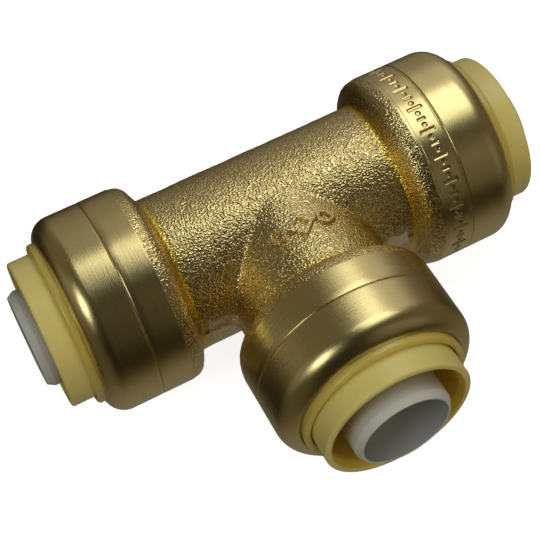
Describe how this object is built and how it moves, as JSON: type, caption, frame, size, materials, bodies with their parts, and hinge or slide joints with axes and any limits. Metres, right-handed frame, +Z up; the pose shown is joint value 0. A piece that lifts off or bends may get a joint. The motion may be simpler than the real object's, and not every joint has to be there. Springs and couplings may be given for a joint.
{
  "type": "push to connect fitting",
  "caption": "Brass push to connect tee. Each port has a tube liner, a seal, a toothed grab ring and a plastic release collar that slides inwards to free the tube.",
  "frame": {"origin": "under the middle of the bounding box, on the surface that the three bells rest on", "axes": "+X along the run towards the right port, -Y towards the branch port, +Z up"},
  "size_m": [0.0908, 0.0622, 0.0347],
  "materials": {
    "forged_brass": "forged and blasted, turned bells",
    "turned_brass": "satin, lathe turned",
    "collar_plastic": "semi-gloss",
    "retainer_plastic": "semi-gloss",
    "liner_plastic": "matte",
    "protector_plastic": "matte",
    "seal_rubber": "smooth",
    "spring_steel": "bright"
  },
  "bodies": {
    "fitting": {"body": "forged_brass", "left_end_cap": "turned_brass", "left_tube_liner": "liner_plastic", "left_o_ring": "seal_rubber", "left_o_ring_protector": "protector_plastic", "left_grab_ring": "spring_steel", "left_retainer_ring": "retainer_plastic", "right_end_cap": "turned_brass", "right_tube_liner": "liner_plastic", "right_o_ring": "seal_rubber", "right_o_ring_protector": "protector_plastic", "right_grab_ring": "spring_steel", "right_retainer_ring": "retainer_plastic", "branch_end_cap": "turned_brass", "branch_tube_liner": "liner_plastic", "branch_o_ring": "seal_rubber", "branch_o_ring_protector": "protector_plastic", "branch_grab_ring": "spring_steel", "branch_retainer_ring": "retainer_plastic"},
    "left_collar": {"left_release_collar": "collar_plastic"},
    "right_collar": {"right_release_collar": "collar_plastic"},
    "branch_collar": {"branch_release_collar": "collar_plastic"}
  },
  "joints": [
    {"name": "left_collar_slide", "type": "slide", "parent": "fitting", "child": "left_collar", "axis": [1, 0, 0], "range_m": [0, 0.002], "stiffness_N_per_m": 4000, "deforming": ["left_grab_ring"]},
    {"name": "right_collar_slide", "type": "slide", "parent": "fitting", "child": "right_collar", "axis": [-1, 0, 0], "range_m": [0, 0.002], "stiffness_N_per_m": 4000, "deforming": ["right_grab_ring"]},
    {"name": "branch_collar_slide", "type": "slide", "parent": "fitting", "child": "branch_collar", "axis": [0, 1, 0], "range_m": [0, 0.002], "stiffness_N_per_m": 4000, "deforming": ["branch_grab_ring"]}
  ]
}
